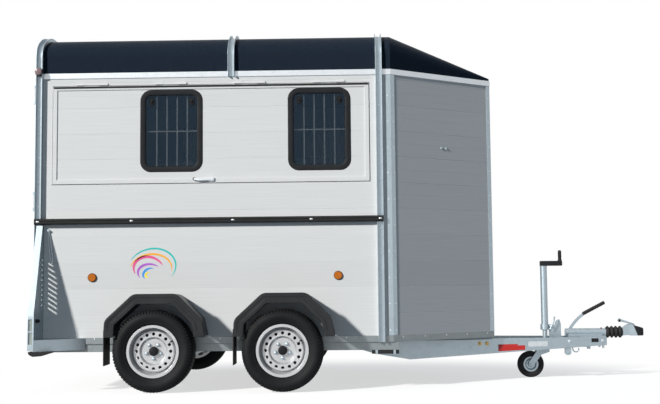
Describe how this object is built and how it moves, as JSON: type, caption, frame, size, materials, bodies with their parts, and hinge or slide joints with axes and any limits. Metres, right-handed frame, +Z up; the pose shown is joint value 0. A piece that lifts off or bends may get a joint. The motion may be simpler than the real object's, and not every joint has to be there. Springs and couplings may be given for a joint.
{
  "type": "twin-axle horse trailer",
  "caption": "Two-stall horse trailer with a pointed nose, panelled box body, side flap with windows, rear ramp and doors, sprung axles and an overrun drawbar with jockey wheel.",
  "frame": {"origin": "on the ground, under the middle of the overall length and width", "axes": "+X forwards to the coupling, +Y to the trailer's left, +Z up"},
  "size_m": [4.901, 2.27, 2.7885],
  "materials": {
    "panel": "anodised hollow planks with fine horizontal joints",
    "aluminium": "plain extruded profile",
    "galvanised": "hot-dip galvanised, dull spangle",
    "roof_gelcoat": "glossy moulded roof with fine flecks",
    "black_plastic": "moulded, slight grain",
    "black_rubber": "matt rubber",
    "tyre": "road tyre",
    "wheel_silver": "silver painted steel wheel",
    "tinted_pane": "dark tinted sheet",
    "floor_ply": "coated board",
    "lamp_red": "lamp lens",
    "reflector_amber": "prismatic reflector",
    "disc_paint": "painted convex disc"
  },
  "bodies": {
    "body": {"chassis": "galvanised", "sill_rail": "galvanised", "floor": "floor_ply", "walls_lower": "panel", "wall_right_upper": "panel", "wall_left_upper": "panel", "window_frames_left": "black_plastic", "window_panes_left": "tinted_pane", "window_bars_left": "galvanised", "nose_panels": "panel", "nose_front": "panel", "roof_main": "roof_gelcoat", "roof_nose": "roof_gelcoat", "rear_gable": "panel", "hoop_rear": "galvanised", "hoop_middle": "galvanised", "hoop_front": "galvanised", "rear_frame": "galvanised", "eaves_rails": "aluminium", "belt_strips": "black_plastic", "corner_trims": "galvanised", "wing_plates": "galvanised", "rear_lamps": "lamp_red", "mudguards": "black_plastic", "mud_flaps": "black_rubber", "axle_rear": "galvanised", "axle_front": "galvanised", "drawbar_beams": "galvanised", "overrun_housing": "galvanised", "brake_rod": "galvanised", "bellows": "black_rubber", "coupling_head": "galvanised", "coupling_handle": "galvanised", "handbrake_lever": "galvanised", "jockey_outer_tube": "galvanised", "jockey_crank": "galvanised", "tack_bulkhead": "panel", "divider": "panel", "side_reflectors": "reflector_amber", "nose_dome": "disc_paint"},
    "side_flap": {"side_flap": "panel", "flap_handle": "galvanised", "window_frames_right": "black_plastic", "window_panes_right": "tinted_pane", "window_bars_right": "galvanised"},
    "tack_door": {"tack_door": "panel"},
    "ramp": {"ramp": "panel"},
    "rear_door_right": {"rear_door_right": "panel"},
    "rear_door_left": {"rear_door_left": "panel"},
    "jockey_leg": {"jockey_leg": "galvanised"},
    "jockey_wheel": {"jockey_rim": "galvanised", "jockey_tyre": "black_rubber"},
    "wheel_rear_right": {"rim_rear_right": "wheel_silver", "tyre_rear_right": "tyre"},
    "wheel_rear_left": {"rim_rear_left": "wheel_silver", "tyre_rear_left": "tyre"},
    "wheel_front_right": {"rim_front_right": "wheel_silver", "tyre_front_right": "tyre"},
    "wheel_front_left": {"rim_front_left": "wheel_silver", "tyre_front_left": "tyre"}
  },
  "joints": [
    {"name": "side_flap_hinge", "type": "hinge", "parent": "body", "child": "side_flap", "pos_m": [-1.0635, -0.908, 2.355], "axis": [-1, 0, 0], "range_deg": [0, 90]},
    {"name": "tack_door_hinge", "type": "hinge", "parent": "body", "child": "tack_door", "pos_m": [0.99441, 0.46707, 1.36], "axis": [0, 0, -1], "range_deg": [0, 100]},
    {"name": "ramp_hinge", "type": "hinge", "parent": "body", "child": "ramp", "pos_m": [-2.4295, 0, 0.36], "axis": [0, -1, 0], "range_deg": [0, 112]},
    {"name": "rear_door_right_hinge", "type": "hinge", "parent": "body", "child": "rear_door_right", "pos_m": [-2.4415, -0.87, 1.87], "axis": [0, 0, 1], "range_deg": [0, 180]},
    {"name": "rear_door_left_hinge", "type": "hinge", "parent": "body", "child": "rear_door_left", "pos_m": [-2.4415, 0.87, 1.87], "axis": [0, 0, -1], "range_deg": [0, 180]},
    {"name": "jockey_slide", "type": "slide", "parent": "body", "child": "jockey_leg", "axis": [0, 0, 1], "range_m": [0, 0.15]},
    {"name": "jockey_wheel_spin", "type": "hinge", "parent": "jockey_leg", "child": "jockey_wheel", "pos_m": [1.5045, 0, 0.11], "axis": [0, 1, 0], "continuous": true},
    {"name": "wheel_rear_right_spin", "type": "hinge", "parent": "body", "child": "wheel_rear_right", "pos_m": [-1.4685, -1.024, 0.307], "axis": [0, 1, 0], "continuous": true},
    {"name": "wheel_rear_left_spin", "type": "hinge", "parent": "body", "child": "wheel_rear_left", "pos_m": [-1.4685, 1.024, 0.307], "axis": [0, 1, 0], "continuous": true},
    {"name": "wheel_front_right_spin", "type": "hinge", "parent": "body", "child": "wheel_front_right", "pos_m": [-0.5025, -1.024, 0.307], "axis": [0, 1, 0], "continuous": true},
    {"name": "wheel_front_left_spin", "type": "hinge", "parent": "body", "child": "wheel_front_left", "pos_m": [-0.5025, 1.024, 0.307], "axis": [0, 1, 0], "continuous": true}
  ]
}
